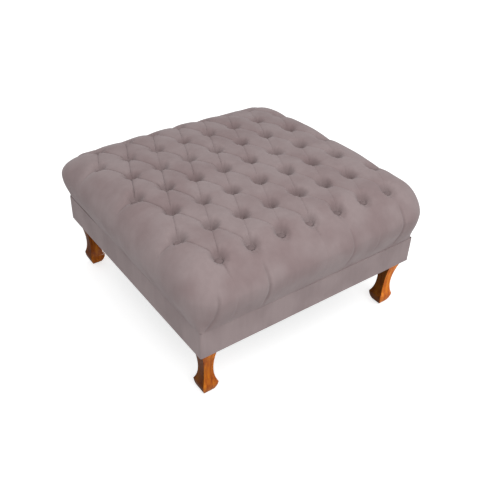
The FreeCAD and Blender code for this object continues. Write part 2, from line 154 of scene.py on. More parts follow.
# The legs' own three lights: name, place, size and watts
LEG_LIGHTS = (("leg_key", (0.9, -2.5, 1.3), 0.5, 88),
              ("leg_fill", (1.4, -2.4, 0.42), 0.4, 136),
              ("leg_back", (0.9, 2.5, 1.0), 0.5, 90))
LEG_MIDDLE = (0, 0, 0.08)

# How finely the cover is divided: parts of a lattice cell, and rings over and under the bulge
CELL_PARTS = 24
ROLL_RINGS = 40
LOWER_RINGS = 26
EDGE_RINGS = ROLL_RINGS + LOWER_RINGS


def smooth(edge_a, edge_b, x):
    """0 before edge_a, 1 after edge_b, and a smooth step between."""
    t = np.clip((x - edge_a) / (edge_b - edge_a), 0, 1)
    return t * t * (3 - 2 * t)


def fade(turn, degrees):
    """1 before the first of two turns, 0 after the second, and a smooth step between."""
    return 1 - smooth(math.radians(degrees[0]), math.radians(degrees[1]), turn)


def window(value, start, full, fading, gone):
    """0 up to the start, 1 from full until fading, 0 again once gone, with smooth steps between."""
    return smooth(start, full, value) * (1 - smooth(fading, gone, value))


def rightward(x, y):
    """How far to the right a place lies in the photograph's view. The pleats are slacker there,
    and the dimples are drawn out."""
    return 0.8 * x - 0.6 * y


def button_centres():
    """X and Y of every button, row by row from the front."""
    places = []
    for low, high in ROW_BOXES:
        count = int(round((high.x - low.x - 2 * BUTTON_RADIUS) / BUTTON_STEP)) + 1
        for number in range(count):
            places.append((low.x + BUTTON_RADIUS + number * BUTTON_STEP, (low.y + high.y) / 2))
    return places


def roll_turn(share, fullness):
    """The turn at which the roll has gone a share of its reach outwards."""
    return np.arccos(np.clip(1 - np.clip(share, 0, 1) ** fullness, 0, 1) ** (1 / fullness))


def roll_out(turn, reach, fullness, overhang):
    """How far outside the flat top the side is at a turn: 0 on top, a quarter turn at the bulge.
    The bulge is blunted where the roll is lean, and under it the side slants in to the seam."""
    upper = reach * np.clip(1 - np.abs(np.cos(turn)) ** fullness, 0, 1) ** (1 / fullness)
    blunt = BULGE_BLUNTING * (2 - fullness) * np.exp(-((turn - math.pi / 2) / BULGE_SPREAD) ** 2)
    down = np.clip(-np.cos(turn), 0, 1)
    lower = reach - overhang * down ** 2 * (2 - down)
    return np.where(turn < math.pi / 2, upper, lower) - blunt


def grid_lines(flat_half, last_button, cells, reach, fullness):
    """The cover's grid lines along one axis: places on the flat top, and turns beyond it."""
    inner = np.linspace(-last_button, last_button, cells * CELL_PARTS + 1)
    inner_turns = roll_turn((np.abs(inner) - flat_half) / reach, fullness)
    upper = np.linspace(inner_turns[-1], math.pi / 2, ROLL_RINGS + 1)[1:]
    lower = np.linspace(math.pi / 2, math.pi, LOWER_RINGS + 1)[1:]
    turns = np.concatenate([upper, lower])
    beyond = np.full(len(turns), flat_half)
    places = np.concatenate([-beyond, np.clip(inner, -flat_half, flat_half), beyond])
    return places, np.concatenate([turns[::-1], inner_turns, turns])


def plain_cover():
    """The cover's crest surface as a grid of points, and the turn of each."""
    flat_x, flat_y = PAD_HALF_X - ROLL_REACH_X, PAD_HALF_Y - ROLL_REACH_Y
    cells_x = int(round(4 * LAST_COLUMN / BUTTON_STEP))
    cells_y = int(round(2 * LAST_ROW / ROW_STEP))
    place_x, turn_x = grid_lines(flat_x, LAST_COLUMN, cells_x, ROLL_REACH_X, ROLL_FULLNESS_X)
    place_y, turn_y = grid_lines(flat_y, LAST_ROW, cells_y, ROLL_REACH_Y, ROLL_FULLNESS_Y)
    px, py = np.meshgrid(place_x, place_y, indexing="ij")
    tx, ty = np.meshgrid(turn_x, turn_y, indexing="ij")
    turn = np.maximum(tx, ty)
    with np.errstate(divide="ignore", invalid="ignore"):
        share = np.where(tx >= ty, ty / tx / 2, 1 - tx / ty / 2)
    around = np.where(turn > 0, share, 0.5) * math.pi / 2
    down = np.clip(-np.cos(turn), 0, 1)
    corner = math.log(0.5) / np.log(BULGE_CORNER + (SEAM_CORNER - BULGE_CORNER) * down ** CORNER_TUCK)
    c, s = np.clip(np.cos(around), 0, 1), np.clip(np.sin(around), 0, 1)
    stretch = (c ** corner + s ** corner) ** (-1 / corner)
    near_corner = (1 - smooth(*LEFT_PART, px)) * (1 - smooth(*FRONT_PART, py))
    tuck = np.where(tx >= ty, smooth(*TUCK_START, np.abs(py) / flat_y), 1) * (1 - near_corner)
    draw_in = SEAM_SHELF + (SEAM_DRAW_IN - SEAM_SHELF) * tuck
    overhang_x = PAD_HALF_X - BAND_HALF_X + draw_in
    overhang_y = PAD_HALF_Y - BAND_HALF_Y + draw_in
    out_x = roll_out(turn, ROLL_REACH_X, ROLL_FULLNESS_X, overhang_x) * c * stretch
    out_y = roll_out(turn, ROLL_REACH_Y, ROLL_FULLNESS_Y, overhang_y) * s * stretch
    x, y = px + np.sign(px) * out_x, py + np.sign(py) * out_y
    crown = CROWN_X * (x / BAND_HALF_X) ** 2 + CROWN_Y * (y / BAND_HALF_Y) ** 2
    crown += CORNER_DROP * np.abs(x * y / BAND_HALF_X / BAND_HALF_Y) ** 3 * (y > 0)
    crown += LEAN * y / BAND_HALF_Y
    rise = np.where(turn < math.pi / 2, CREST_LEVEL - crown - BULGE_LEVEL, BULGE_LEVEL - SEAM_LEVEL)
    return np.stack([x, y, BULGE_LEVEL + rise * np.cos(turn)], axis=-1), turn


def grid_normals(points):
    """Outward normals of a grid of points."""
    normal = np.cross(np.gradient(points, axis=0), np.gradient(points, axis=1))
    return normal / np.maximum(np.linalg.norm(normal, axis=-1, keepdims=True), 1e-12)


def pleat_lines():
    """The two ends of each pleat between neighbouring buttons."""
    places = button_centres()
    lines = []
    for x, y in places:
        for step in (-1, 1):
            end = (x + step * BUTTON_STEP / 2, y + ROW_STEP)
            if any(math.dist(end, place) < BUTTON_RADIUS for place in places):
                lines.append(((x, y), end))
    return lines


def wander(x, y, size, seed):
    """A smooth, repeatable random height between about -1 and 1, with features of a given size."""
    total = 0
    for number in range(5):
        heading = seed * 1.7 + number * 2.4
        pitch = (0.75 + 0.17 * number) * math.pi / size
        across = x * math.cos(heading) + y * math.sin(heading)
        total = total + np.sin(across * pitch + seed * 3.1 + number * 1.3)
    return total / 3


def valley(side, reach):
    """The flank of a plump pillow: 1 in the crease, steep beside it, and 0 on the pillow's crest."""
    share = np.clip(np.abs(side) / reach, 0, 1)
    return 1 - np.sqrt(1 - (1 - share) ** 2)


def pleat_depth(x, y, start, end):
    """How deep one pleat between two buttons draws the cover in: shallowest half way along."""
    length = math.dist(start, end)
    ux, uy = (end[0] - start[0]) / length, (end[1] - start[1]) / length
    along = (x - start[0]) * ux + (y - start[1]) * uy
    side = (y - start[1]) * ux - (x - start[0]) * uy
    beyond = np.maximum(np.maximum(-along, along - length), 0)
    to_button = np.abs(2 * np.clip(along / length, 0, 1) - 1) ** PLEAT_SAG
    deep = PLEAT_DEPTH + (PLEAT_END_DEPTH - PLEAT_DEPTH) * to_button
    middle_x, middle_y = (start[0] + end[0]) / 2, (start[1] + end[1]) / 2
    pulled = PLEAT_PULL - PLEAT_FADE * rightward(middle_x, middle_y)
    pulled += PLEAT_WANDER * wander(middle_x, middle_y, size=0.07, seed=5.0)
    pulled = max(pulled, PLEAT_LEAST) * (LEFT_PLEATS if end[0] < start[0] else RIGHT_PLEATS)
    return deep * pulled * valley(np.hypot(side, beyond * 2), PILLOW_REACH)


def crest_over(points, place):
    """The level of the cover over a button before it is drawn in. Points under the bulge are
    put a metre further away, so that none of them is taken."""
    away = np.hypot(points[..., 0] - place[0], points[..., 1] - place[1])
    away = away + (points[..., 2] < BULGE_LEVEL)
    return points[np.unravel_index(np.argmin(away), away.shape)][2]


def button_seat(points, place):
    """The level a button is pulled down to: the solids' level, or lower where the pad is lower,
    but never into the foam."""
    lowered = max(crest_over(points, place) - DIMPLE_DEPTH, FOAM_TOP + OVER_FOAM)
    return min(BUTTON_SEAT, lowered)


def dimple_depth(points, place):
    """How deep one button draws the cover in, the small puckers that run out from it, and the
    depth that keeps the cover off the button's seat."""
    x, y, z = points[..., 0], points[..., 1], points[..., 2]
    away = np.hypot(x - place[0], y - place[1])
    seat = button_seat(points, place)
    beyond_seat = smooth(DIMPLE_FLOOR, 2 * DIMPLE_FLOOR, away)
    to_seat = np.maximum(z - seat, LEAST_PULL)
    pull = to_seat + (crest_over(points, place) - seat - to_seat) * beyond_seat
    angle = np.arctan2(y - place[1], x - place[0])
    phase = 40 * place[0] + 23 * place[1]
    pucker = np.sin(PUCKER_COUNT * angle + 2 * np.sin(2 * angle + phase) + phase)
    lengthening = DIMPLE_LENGTHENING * smooth(*LENGTHENED, rightward(*place))
    twist = DIMPLE_TWIST * wander(place[0], place[1], size=0.09, seed=8.0)
    narrowing = 1 + lengthening * np.cos(2 * (angle - twist))
    narrowing += DIMPLE_RIPPLE * np.cos(3 * angle + phase)
    outside = np.maximum(away - DIMPLE_FLOOR, 0) * narrowing
    bowl = BOWL_SHARE * valley(outside, DIMPLE_REACH)
    wall = WALL_SHARE * (1 - smooth(0, DIMPLE_WALL, outside))
    return pull * (bowl + wall), PUCKER_DEPTH * pucker * window(away, *PUCKER_WINDOW), pull


def tuft_depth(points, turn):
    """How deep the buttons, pleats and creases draw the cover in at each point, and how sharply
    it is creased there."""
    x, y, z = points[..., 0], points[..., 1], points[..., 2]
    near_top = fade(turn, TUFT_FADE)
    pleats = np.zeros_like(x)
    dimples, puckers, creases = np.zeros_like(x), np.zeros_like(x), np.zeros_like(x)
    deepest = np.full_like(x, CREST_LEVEL - BUTTON_SEAT)
    for start, end in pleat_lines():
        pleats = np.maximum(pleats, pleat_depth(x, y, start, end) * near_top)
    for place in button_centres():
        dimple, pucker, pull = dimple_depth(points, place)
        deepest = np.where(dimple * near_top > dimples, pull, deepest)
        dimples = np.maximum(dimples, dimple * near_top)
        puckers = puckers + pucker * near_top
        if abs(abs(place[1]) - LAST_ROW) < BUTTON_RADIUS:
            broad, crease = end_pleat(x, y, z, turn, *place)
            pleats, creases = np.maximum(pleats, broad), np.maximum(creases, crease)
        if abs(abs(place[0]) - LAST_COLUMN) < BUTTON_RADIUS:
            pleats = np.maximum(pleats, side_crease(x, y, turn, *place))
    for side in (-1, 1):
        creases = np.maximum(creases, corner_fold(x, y, turn, side))
    pleats = np.maximum(pleats, creases * CREASE_DEPTH)
    depth = (pleats ** 3 + dimples ** 3) ** (1 / 3)
    return np.minimum(depth, deepest) + puckers, creases


def fold(side):
    """The section of a sharp fold in the velvet: 1 in its middle."""
    return np.exp(-(side / CREASE_REACH) ** 2)


def end_pleat(x, y, z, turn, bx, by):
    """A straight pleat from a button of the first or last row: how deep it is over the roll, and
    how sharp its crease is down the face. The back ones are held to the room over the foam."""
    number = int(round(bx / BUTTON_STEP)) + len(ROLL_STRENGTHS) // 2
    over_roll, down_face, fade_from = BACK_PLEATS
    if by < 0:
        over_roll, down_face = ROLL_STRENGTHS[number], FACE_STRENGTHS[number]
        fade_from = FRONT_FADE_FROM
    outside = smooth(*PLEAT_START, y * np.sign(by) - abs(by))
    roll_end = ROLL_END + ROLL_END_MORE * over_roll
    roll = over_roll * ROLL_PLEAT_DEPTH * fade(turn, (fade_from, roll_end))
    face = down_face * window(np.degrees(turn), *FACE_TURNS)
    flank = valley(x - bx, ROLL_PLEAT_REACH)
    if by > 0:
        room = np.maximum(z - foam_floor(x, y), OVER_FOAM)
        roll = roll / (1 + (roll / room) ** 3) ** (1 / 3)
        flank = (1 - np.clip(np.abs(x - bx) / ROLL_PLEAT_REACH, 0, 1)) ** 2
    return outside * roll * flank, outside * face * fold(x - bx)


def corner_fold(x, y, turn, side):
    """A fold down a pleated face beside its corner, curving out to the corner of the seam. The
    front has one at its left (side -1), and the back one at its right (side 1)."""
    degrees = np.degrees(turn)
    down = np.clip((degrees - FOLD_START) / (180 - FOLD_START), 0, 1)
    line = BAND_HALF_X - FOLD_INSET + FOLD_SWING * down ** FOLD_CURVE
    on_face = y * side > BAND_HALF_Y - FOLD_FACE
    return on_face * window(degrees, *FOLD_TURNS) * fold(x * side - line)


def side_crease(x, y, turn, bx, by):
    """A short crease from the last button of a row over the plain side's roll."""
    outside = smooth(*PLEAT_START, x * np.sign(bx) - abs(bx))
    deep = SIDE_CREASE_DEPTH * fade(turn, SIDE_FADE)
    return outside * deep * valley(y - by, SIDE_CREASE_REACH)


def foam_floor(x, y):
    """The lowest that the cover may come over the foam, and how that falls away past its edge."""
    beside_x = np.maximum(np.abs(x) - FOAM_HALF_X + FOAM_CORNER, 0)
    beside_y = np.maximum(np.abs(y) - FOAM_HALF_Y + FOAM_CORNER, 0)
    past_foam = np.maximum(np.hypot(beside_x, beside_y) - FOAM_CORNER, 0)
    return FOAM_TOP + OVER_FOAM - past_foam ** 2 / FOAM_EDGE_EASE


def kept_off_foam(points, crest, turn):
    """The drawn-in cover, lifted where it would sink into the foam or cut across its edge, but
    hardly over its crest."""
    x, y, z = points[..., 0], points[..., 1], points[..., 2]
    lowest = foam_floor(x, y)
    lifted = (z + lowest + np.hypot(z - lowest, OVER_FOAM)) / 2
    lifted = np.minimum(lifted, np.maximum(np.maximum(z, crest[..., 2]), lowest - OVER_FOAM / 2))
    on_top = fade(turn, FOAM_FADE)
    return np.stack([x, y, z + (lifted - z) * on_top], axis=-1)


def tufted_cover(points, turn):
    """The buttoned cover: its drawn-in top and sides, its underside, and the recess for the foam."""
    normal = grid_normals(points)
    x, y = points[..., 0], points[..., 1]
    depth, creases = tuft_depth(points, turn)
    near_top = fade(turn, TUFT_FADE)
    wrinkles = wander(x, y, WRINKLE_SIZE, seed=1.0) * WRINKLE_HEIGHT
    swells = wander(x, y, SWELL_SIZE, seed=2.0) * SWELL_HEIGHT * near_top
    loose = (wrinkles + swells) * fade(turn, LOOSE_FADE)
    upright = fade(turn, UPRIGHT_FADE)[..., None]
    inward = -normal * (1 - upright) - np.array([0, 0, 1]) * upright
    inward /= np.linalg.norm(inward, axis=-1, keepdims=True)
    settled = np.clip(1 - depth / WRINKLES_GONE, 0, 1)
    drawn_in = points + inward * (depth + loose * settled)[..., None]
    points = kept_off_foam(drawn_in, points, turn)
    # Painted shade: how deep each point is drawn in, and its creases, darken the velvet's colour
    painted_shade = np.maximum(depth / (CREST_LEVEL - BUTTON_SEAT), creases * CREASE_SHADE)
    return cover_piece(points, np.clip(painted_shade, 0, 1))


def foam_outline(point, clearance):
    """The nearest place on the foam's rounded outline to a point outside it."""
    radius = FOAM_CORNER + clearance
    core_x, core_y = FOAM_HALF_X + clearance - radius, FOAM_HALF_Y + clearance - radius
    core = Vector((max(-core_x, min(core_x, point.x)), max(-core_y, min(core_y, point.y))))
    away = Vector((point.x, point.y)) - core
    return core + away.normalized() * radius


def cover_faces(rows, columns):
    """The grid's faces, split along the pleats on the flat top, and the pairs of pleat vertices."""
    faces, creases = [], set()
    for i in range(rows - 1):
        for j in range(columns - 1):
            a = i * columns + j
            b, c, d = a + columns, a + columns + 1, a + 1
            cell_x, part_x = divmod(i - EDGE_RINGS, CELL_PARTS)
            cell_y, part_y = divmod(j - EDGE_RINGS, CELL_PARTS)
            flat_x = EDGE_RINGS <= i < rows - 1 - EDGE_RINGS
            if not (flat_x and EDGE_RINGS <= j < columns - 1 - EDGE_RINGS):
                faces.append((a, b, c, d))
            elif (cell_x + cell_y) % 2 == 0:
                faces += [(a, b, d), (b, c, d)]
                if part_x + part_y == CELL_PARTS - 1:
                    creases.add((d, b))
            else:
                faces += [(a, b, c), (a, c, d)]
                if part_x == part_y:
                    creases.add((a, c))
    return faces, creases


def cover_piece(points, hollow_shade):
    """The cover's mesh: the grid of its outer face, closed by the underside and the foam's recess."""
    rows, columns = points.shape[:2]
    faces, creases = cover_faces(rows, columns)
    rim = [i * columns for i in range(rows)]
    rim += [(rows - 1) * columns + j for j in range(1, columns)]
    rim += [i * columns + columns - 1 for i in range(rows - 2, -1, -1)]
    rim += list(range(columns - 2, 0, -1))
    verts = [tuple(point) for point in points.reshape(-1, 3)]
    ring = rim
    for level in (SEAM_LEVEL + RECESS_GAP, FOAM_TOP + RECESS_GAP):
        first = len(verts)
        for number in rim:
            place = foam_outline(Vector(verts[number]), RECESS_GAP)
            verts.append((place.x, place.y, level))
        inner = list(range(first, first + len(rim)))
        for k in range(len(rim)):
            follow = (k + 1) % len(rim)
            faces.append((ring[follow], ring[k], inner[k], inner[follow]))
        ring = inner
    faces.append(tuple(reversed(ring)))
    data = bpy.data.meshes.new("velvet_cover")
    data.from_pydata(verts, [], faces)
    edges = np.zeros(len(data.edges) * 2, dtype=np.int32)
    data.edges.foreach_get("vertices", edges)
    creases |= {tuple(sorted(pair)) for pair in zip(rim, rim[1:] + rim[:1])}
    sharp = [tuple(sorted(pair)) in creases for pair in edges.reshape(-1, 2).tolist()]
    data.attributes.new("sharp_edge", "BOOLEAN", "EDGE").data.foreach_set("value", sharp)
    # Painted shade for the velvet, darker where the cover is drawn in and creased; none on the underside
    # and recess
    shades = np.zeros(len(verts), dtype=np.float32)
    shades[:hollow_shade.size] = hollow_shade.reshape(-1)
    data.attributes.new("hollow_shade", "FLOAT", "POINT").data.foreach_set("value", shades)
    data.polygons.foreach_set("use_smooth", [True] * (len(data.polygons) - 1) + [False])
    piece = bpy.data.objects.new("velvet_cover", data)
    bpy.context.scene.collection.objects.link(piece)
    return piece


def band_path(side):
    """The middle of one band piece: its line at the frame's face, and which way it faces."""
    across = side in ("front", "back")
    half = BAND_HALF_X if across else BAND_HALF_Y
    out = BAND_HALF_Y if across else BAND_HALF_X
    sign = -1 if side in ("front", "left") else 1
    core = half - BAND_CORNER
    straight = [(core * (2 * k / BAND_STEPS - 1), out, 0) for k in range(BAND_STEPS + 1)]
    for k in range(1, BEND_STEPS + 1):
        bend = math.radians(45 * k / BEND_STEPS)
        place = (core + BAND_CORNER * math.sin(bend), out - BAND_CORNER * (1 - math.cos(bend)), bend)
        straight.append(place)
        straight.insert(0, (-place[0], place[1], -bend))
    turned = []
    for along, away, bend in straight:
        outward = Vector((math.sin(bend), math.cos(bend)))
        if across:
            turned.append((Vector((along, away * sign)), Vector((outward.x, outward.y * sign))))
        else:
            turned.append((Vector((away * sign, along)), Vector((outward.y * sign, outward.x))))
    return turned


def band_piece(side):
    """One side of the plain band: a strip of velvet with soft edges and a turned-up hem. Its edges
    are rounder along the pleated sides, and most of all at their far ends."""
    low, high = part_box("band_" + side)
    height = high.z + BAND_FOLD - low.z
    fold_top, fold_under = high.z + BAND_FOLD, high.z + HEM_GAP
    inside = [(-BAND_TURN_IN, fold_top), (-BAND_TURN_IN, fold_under)]
    inside += [(-BAND_INNER, high.z), (-BAND_INNER, low.z)]
    ring_count = BAND_LEVELS + 1 + len(inside)
    mesh = bmesh.new()
    rings = []
    for place, outward in band_path(side):
        edge = PLAIN_BAND_EDGE
        if side in ("front", "back"):
            towards_end = -place.x * math.copysign(1, place.y) / BAND_HALF_X
            edge += (BAND_EDGE - PLAIN_BAND_EDGE) * float(smooth(*BAND_ROUNDING, towards_end))
        ring = []
        for k in range(BAND_LEVELS + 1):
            up = k / BAND_LEVELS
            to_edge = max(0, 1 - min(up, 1 - up) * height / edge)
            level = low.z + up * height
            spot = Vector((place.x, place.y, level * WAVE_SQUASH)) * WAVE_PITCH
            wave = noise.noise(spot) * BAND_INSET
            out = -edge * (1 - math.sqrt(1 - to_edge ** 2)) - BAND_INSET - wave
            ring.append(mesh.verts.new((place.x + outward.x * out, place.y + outward.y * out, level)))
        for out, level in inside:
            ring.append(mesh.verts.new((place.x + outward.x * out, place.y + outward.y * out, level)))
        rings.append(ring)
    for first, second in zip(rings, rings[1:]):
        for k in range(ring_count):
            follow = (k + 1) % ring_count
            mesh.faces.new((first[k], first[follow], second[follow], second[k]))
    mesh.faces.new(rings[0])
    mesh.faces.new(rings[-1])
    bmesh.ops.recalc_face_normals(mesh, faces=mesh.faces)
    data = bpy.data.meshes.new("velvet_band_" + side)
    mesh.to_mesh(data)
    mesh.free()
    piece = bpy.data.objects.new("velvet_band_" + side, data)
    bpy.context.scene.collection.objects.link(piece)
    shade(piece, degrees=50)
    return piece


def select_only(piece):
    """Leave one piece selected and active."""
    bpy.ops.object.select_all(action="DESELECT")
    piece.select_set(True)
    bpy.context.view_layer.objects.active = piece


def shade(piece, degrees):
    """Smooth shading, with an edge where faces meet more sharply than this."""
    select_only(piece)
    bpy.ops.object.shade_smooth_by_angle(angle=math.radians(degrees))


def apply_scale_and_place(piece):
    """Write a piece's place, turn and scale into its mesh."""
    select_only(piece)
    bpy.ops.object.transform_apply(location=True, rotation=True, scale=True)


def button_row(row, points):
    """One row of covered buttons: flattened round domes, joined into one piece."""
    low, high = ROW_BOXES[row]
    middle = (low.y + high.y) / 2
    domes = []
    for x, y in button_centres():
        if abs(y - middle) > BUTTON_RADIUS:
            continue
        bpy.ops.mesh.primitive_uv_sphere_add(segments=32, ring_count=16, radius=BUTTON_RADIUS)
        dome = bpy.context.object
        for vert in dome.data.vertices:
            up = vert.co.z / BUTTON_RADIUS
            vert.co.z = BUTTON_DOME * (1 + up) * (BUTTON_TOP - BUTTON_SEAT)
        dome.location = (x, y, button_seat(points, (x, y)))
        apply_scale_and_place(dome)
        domes.append(dome)
    select_only(domes[0])
    for dome in domes:
        dome.select_set(True)
    bpy.ops.object.join()
    piece = bpy.context.object
    piece.name = "covered_buttons_%d" % (row + 1)
    shade(piece, degrees=60)
    return piece


def merged_copy(node_name, name):
    """A copy of a CAD solid with its loose triangles joined into flat faces."""
    node = frame["nodes"][node_name]
    piece = bpy.data.objects.new(name, node.data.copy())
    bpy.context.scene.collection.objects.link(piece)
    piece.matrix_world = node.matrix_world
    apply_scale_and_place(piece)
    bpy.ops.object.mode_set(mode="EDIT")
    bpy.ops.mesh.select_all(action="SELECT")
    bpy.ops.mesh.remove_doubles(threshold=MERGE_REACH)
    bpy.ops.mesh.dissolve_limited(angle_limit=math.radians(FLAT_ANGLE))
    bpy.ops.object.mode_set(mode="OBJECT")
    return piece


def twine_ties(points):
    """The twines inside the pad: a copy of their solid, shortened where a button sits lower."""
    piece = merged_copy("button_twines", "twine_ties")
    seats = [(place, button_seat(points, place)) for place in button_centres()]
    for vert in piece.data.vertices:
        seat = min(seats, key=lambda pair: math.dist(pair[0], vert.co[:2]))[1]
        vert.co.z = min(vert.co.z, seat + TWINE_INTO_BUTTON)
    return piece


def leg(corner):
    """A cabriole leg: a merged copy of its solid with worn, softly rounded edges."""
    piece = merged_copy("leg_" + corner, "carved_leg_" + corner)
    bevel = piece.modifiers.new("edges", "BEVEL")
    bevel.width = LEG_EDGE
    bevel.segments = LEG_EDGE_PARTS
    bevel.limit_method = "ANGLE"
    bevel.angle_limit = math.radians(LEG_EDGE_ANGLE)
    bpy.ops.object.modifier_apply(modifier="edges")
    shade(piece, degrees=35)
    return piece


def linear(hex_colour):
    """An sRGB hex colour as linear values."""
    parts = [int(hex_colour[i:i + 2], 16) / 255 for i in (0, 2, 4)]
    return tuple(p / 12.92 if p <= 0.04045 else ((p + 0.055) / 1.055) ** 2.4 for p in parts) + (1.0,)


def add_node(tree, kind, settings=None, inputs=None):
    """A node with its settings, its values and its links."""
    node = tree.nodes.new(kind)
    for key, value in (settings or {}).items():
        setattr(node, key, value)
    for key, value in (inputs or {}).items():
        if isinstance(value, bpy.types.NodeSocket):
            tree.links.new(value, node.inputs[key])
        else:
            node.inputs[key].default_value = value
    return node


def new_material(name):
    """A new material, its node tree, and the tree's own shader."""
    material = bpy.data.materials.new(name)
    material.use_nodes = True
    tree = material.node_tree
    return material, tree, tree.nodes["Principled BSDF"]


def set_values(shader, values):
    """Set a shader's inputs by their names."""
    for key, value in values.items():
        shader.inputs[key].default_value = value


def pattern(tree, size, stretch=(1, 1, 1), detail=2.0, rough=0.5, shift=0.0):
    """Noise whose features are about a given size across, in metres, on object coordinates."""
    coordinates = add_node(tree, "ShaderNodeTexCoord")
    mapping = add_node(tree, "ShaderNodeMapping", inputs={
        "Vector": coordinates.outputs["Object"], "Location": (shift, shift, shift),
        "Scale": tuple(1 / factor for factor in stretch)})
    return add_node(tree, "ShaderNodeTexNoise", inputs={
        "Vector": mapping.outputs["Vector"], "Scale": 1 / size, "Detail": detail, "Roughness": rough})


def ramp(tree, factor, stops):
    """A colour ramp through hex colours or grey values at given places."""
    node = add_node(tree, "ShaderNodeValToRGB", inputs={"Fac": factor})
    elements = node.color_ramp.elements
    while len(elements) < len(stops):
        elements.new(0.5)
    for element, (place, colour) in zip(elements, stops):
        element.position = place
        element.color = linear(colour) if isinstance(colour, str) else (colour, colour, colour, 1)
    return node.outputs["Color"]


def blend(tree, factor, first, second, mode="MIX"):
    """Two colours mixed by a factor, a number or a socket."""
    node = tree.nodes.new("ShaderNodeMix")
    node.data_type = "RGBA"
    node.blend_type = mode
    for socket, value in ((node.inputs[0], factor), (node.inputs[6], first), (node.inputs[7], second)):
        if isinstance(value, bpy.types.NodeSocket):
            tree.links.new(value, socket)
        else:
            socket.default_value = value
    return node.outputs[2]


def paint(tree, shader, figure, stops, socket="Base Color"):
    """Lead a pattern through a ramp into one of the shader's inputs."""
    tree.links.new(ramp(tree, figure.outputs["Fac"], stops), shader.inputs[socket])


def roughen(tree, shader, figure, strength, distance):
    """Lead a pattern through a bump into the shader."""
    node = add_node(tree, "ShaderNodeBump", inputs={
        "Height": figure.outputs["Fac"], "Strength": strength, "Distance": distance})
    tree.links.new(node.outputs["Normal"], shader.inputs["Normal"])


def velvet(name, light, dark, shade_hollows=False):
    """Short-pile cotton velvet: it glows at grazing angles, and its brushed pile leaves soft
    darker smudges and faint streaks. Where the tufted cover is drawn in and creased, painted shade
    darkens its colour."""
    material, tree, shader = new_material(name)
    smudges = pattern(tree, 0.085, detail=1.5, rough=0.45)
    streaks = pattern(tree, 0.014, stretch=(1, 1, 7), detail=2.0, shift=3.0)
    pile = pattern(tree, 0.0011, detail=2.0, rough=0.6)
    colour = ramp(tree, smudges.outputs["Fac"], [(0.36, dark), (0.62, light)])
    streaked = ramp(tree, streaks.outputs["Fac"], [(0.35, 0.955), (0.65, 1.0)])
    colour = blend(tree, 1.0, colour, streaked, "MULTIPLY")
    # Painted shade: the cover's colour darkens where it is drawn in deep and along its creases
    if shade_hollows:
        hollow_shade = add_node(tree, "ShaderNodeAttribute", {"attribute_name": "hollow_shade"})
        painted_shade = ramp(tree, hollow_shade.outputs["Fac"], [(0.18, 1.0), (0.75, 0.90)])
        colour = blend(tree, 1.0, colour, painted_shade, "MULTIPLY")
    tree.links.new(colour, shader.inputs["Base Color"])
    set_values(shader, {"Roughness": 0.95, "Specular IOR Level": 0.15, "Sheen Weight": 0.22,
                        "Sheen Roughness": 0.5, "Sheen Tint": linear("ECECEE")})
    roughen(tree, shader, pile, 0.35, 0.0006)
    return material


def lacquered_wood():
    """Honey-stained hardwood under gloss lacquer: long darker grain streaks and fine pores run
    down the leg, and the clear coat gives the sharp highlights on its crests."""
    material, tree, shader = new_material("polished_wood")
    figure = pattern(tree, 0.011, stretch=(1, 1, 9), detail=4.0, rough=0.6)
    pores = pattern(tree, 0.0022, stretch=(1, 1, 16), detail=2.0, shift=5.0)
    colour = ramp(tree, figure.outputs["Fac"], [(0.30, "542306"), (0.48, "693408"), (0.68, "7D470C")])
    pored = ramp(tree, pores.outputs["Fac"], [(0.36, 0.74), (0.52, 1.0)])
    colour = blend(tree, 0.8, colour, pored, "MULTIPLY")
    tree.links.new(colour, shader.inputs["Base Color"])
    set_values(shader, {"Roughness": 0.42, "Specular IOR Level": 0.04, "Coat Weight": 0.14,
                        "Coat Roughness": 0.07})
    roughen(tree, shader, figure, 0.10, 0.0004)
    return material


def plain_wood(name, light, dark, grain):
    """Planed, unfinished wood: pale grain streaks along one way, matt and slightly rough."""
    material, tree, shader = new_material(name)
    figure = pattern(tree, 0.009, stretch=grain, detail=3.0, rough=0.55)
    paint(tree, shader, figure, [(0.35, dark), (0.62, light)])
    set_values(shader, {"Roughness": 0.7})
    roughen(tree, shader, figure, 0.15, 0.0004)
    return material


def foam():
    """Open-cell upholstery foam: cream, matt and pitted with small cells."""
    material, tree, shader = new_material("foam")
    cells = pattern(tree, 0.0016, detail=1.0)
    paint(tree, shader, cells, [(0.35, "C9B98A"), (0.55, "EADFB6")])
    set_values(shader, {"Roughness": 0.95})
    roughen(tree, shader, cells, 0.6, 0.001)
    return material


def dust_cloth():
    """Black spun-bonded cloth: thin matt felt of pressed fibres with paler flecks."""
    material, tree, shader = new_material("dust_cloth")
    fibres = pattern(tree, 0.0020, stretch=(1, 3, 1), detail=3.0)
    paint(tree, shader, fibres, [(0.35, "17171A"), (0.65, "2B2B2F")])
    set_values(shader, {"Roughness": 0.85})
    roughen(tree, shader, fibres, 0.4, 0.0004)
    return material


def zinc_steel():
    """Zinc-plated steel: bluish grey, fairly bright, with cloudy patches in the plating."""
    material, tree, shader = new_material("zinc_steel")
    clouds = pattern(tree, 0.004, detail=2.0)
    paint(tree, shader, clouds, [(0.35, "A9ACAE"), (0.65, "CFD2D3")])
    paint(tree, shader, clouds, [(0.3, 0.28), (0.7, 0.42)], socket="Roughness")
    set_values(shader, {"Metallic": 1.0})
    return material


def twine():
    """Waxed polyester twine: beige strands laid in a slant, slightly shiny."""
    material, tree, shader = new_material("twine")
    strands = pattern(tree, 0.0010, stretch=(1, 1, 3), detail=1.0)
    paint(tree, shader, strands, [(0.35, "8F8468"), (0.6, "CDC3A6")])
    set_values(shader, {"Roughness": 0.55})
    return material


def black_plastic():
    """Moulded black plastic: satin, with a finely grained surface scuffed by floors."""
    material, tree, shader = new_material("glide_plastic")
    scuffs = pattern(tree, 0.0030, detail=3.0)
    paint(tree, shader, scuffs, [(0.4, "18181A"), (0.7, "2A2A2C")])
    set_values(shader, {"Roughness": 0.45})
    return material


